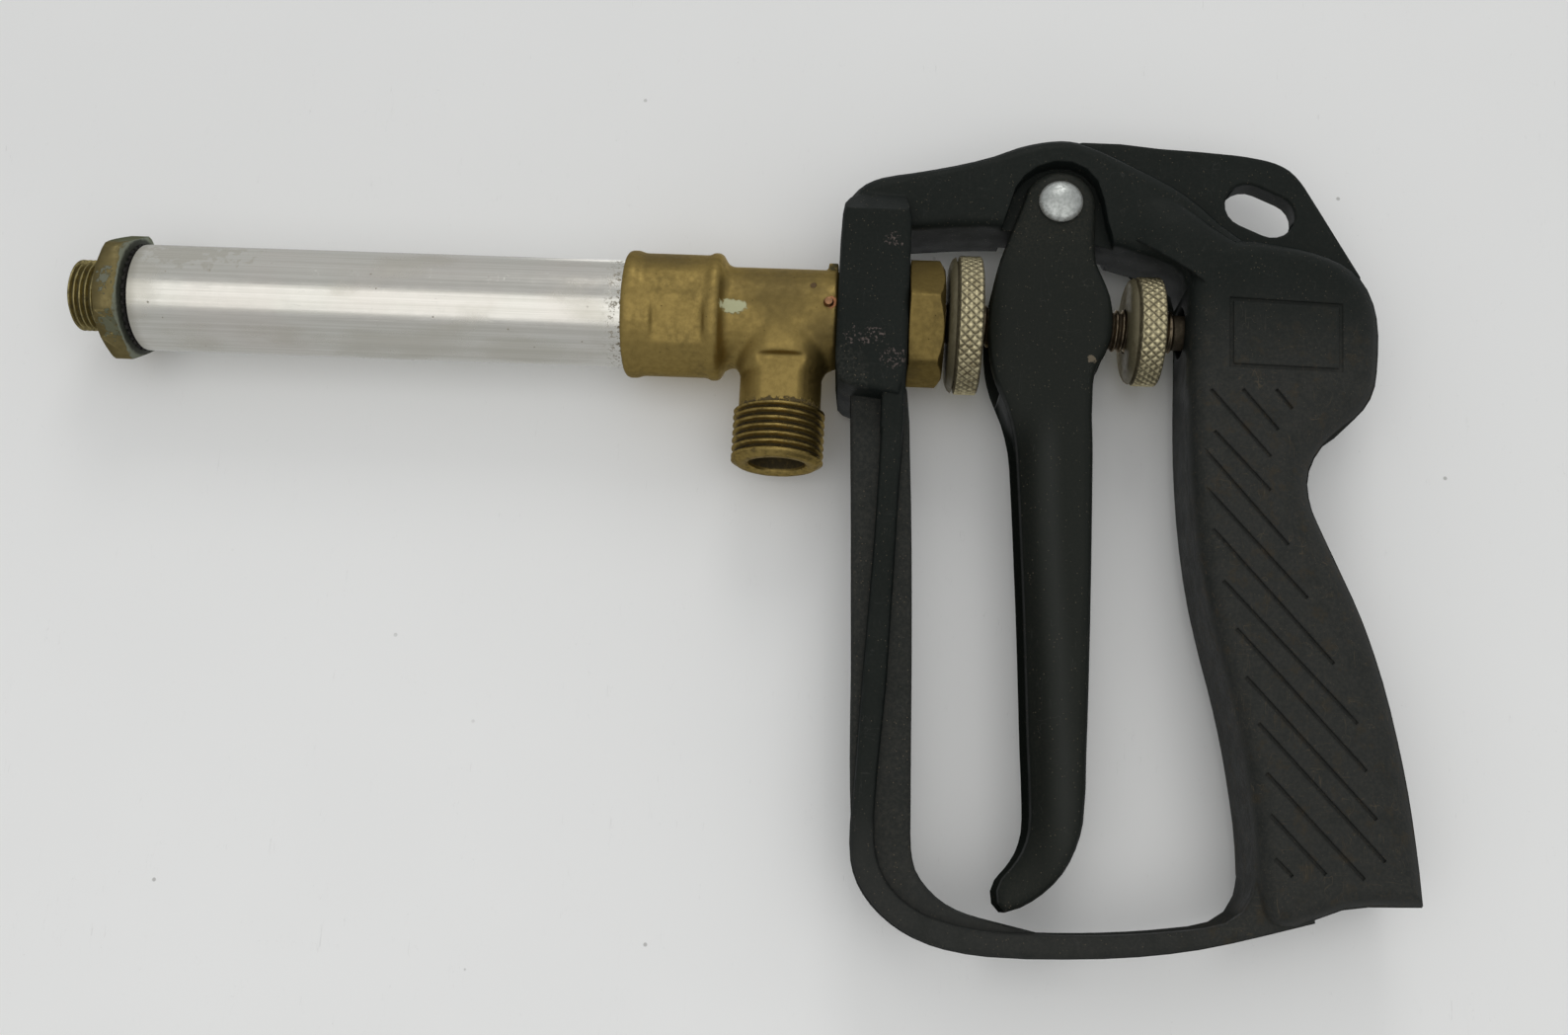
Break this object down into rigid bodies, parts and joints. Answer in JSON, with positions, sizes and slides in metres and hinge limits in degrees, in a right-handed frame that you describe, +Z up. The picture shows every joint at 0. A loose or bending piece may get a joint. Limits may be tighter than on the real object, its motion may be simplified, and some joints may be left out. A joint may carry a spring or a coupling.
{
  "type": "trigger spray gun",
  "caption": "Hand-held spray gun: moulded D-handle with a squeeze trigger, brass tee valve with a threaded inlet below, and a straight aluminium lance with a threaded outlet.",
  "frame": {"origin": "on the inlet's sealing face, in the gun's mid-plane, on the front of the ring, 8 mm ahead of the inlet's axis; the lance's axis is 35.3 mm above it", "axes": "+X from the outlet back to the grip, +Z up with the grip pointing down, +Y to the gun's left; the mid-plane is y = 0"},
  "size_m": [0.304, 0.0318, 0.1859],
  "materials": {
    "handle_plastic": "moulded, scuffed",
    "trigger_plastic": "moulded, worn smooth",
    "brass": "cast, dulled",
    "old_brass": "patinated",
    "brushed_aluminium": "brushed along its length",
    "rivet_steel": "satin",
    "nickel_wheel": "plated, dirty",
    "dark_rod_steel": "dark, greasy",
    "spring_steel": "bright",
    "seal_rubber": "matte",
    "packing_white": "waxy"
  },
  "bodies": {
    "gun_body": {"handle_frame": "handle_plastic", "pivot_rivet": "rivet_steel", "valve_body": "brass", "locating_pin": "old_brass", "packing_nut": "brass", "packing_follower": "brass", "packing_ring_1": "packing_white", "packing_ring_2": "packing_white", "packing_ring_3": "packing_white", "spring_washer": "spring_steel", "return_spring": "spring_steel", "seat_ring": "spring_steel", "lance_tube": "brushed_aluminium", "outlet_adapter": "old_brass", "outlet_gasket": "seal_rubber"},
    "trigger": {"trigger": "trigger_plastic"},
    "valve_rod": {"valve_rod": "dark_rod_steel", "valve_head": "brass", "valve_seat_disc": "seal_rubber"},
    "lock_wheel": {"lock_wheel": "nickel_wheel"},
    "adjuster_wheel": {"adjuster_wheel": "nickel_wheel"}
  },
  "joints": [
    {"name": "trigger_pull", "type": "hinge", "parent": "gun_body", "child": "trigger", "pos_m": [0.0704, 0, 0.0629], "axis": [0, -1, 0], "range_deg": [0, 12.4]},
    {"name": "rod_slide", "type": "slide", "parent": "gun_body", "child": "valve_rod", "axis": [1, 0, 0], "range_m": [0, 0.0028], "deforming": ["return_spring"]},
    {"name": "lock_wheel_spin", "type": "hinge", "parent": "valve_rod", "child": "lock_wheel", "pos_m": [0.0456, 0, 0.0353], "axis": [1, 0, 0], "continuous": true},
    {"name": "adjuster_wheel_spin", "type": "hinge", "parent": "valve_rod", "child": "adjuster_wheel", "pos_m": [0.0862, 0, 0.0353], "axis": [1, 0, 0], "continuous": true}
  ],
  "couplings": [
    {"joint": "rod_slide", "follows": "trigger_pull", "m_per_rad": 0.0127}
  ]
}
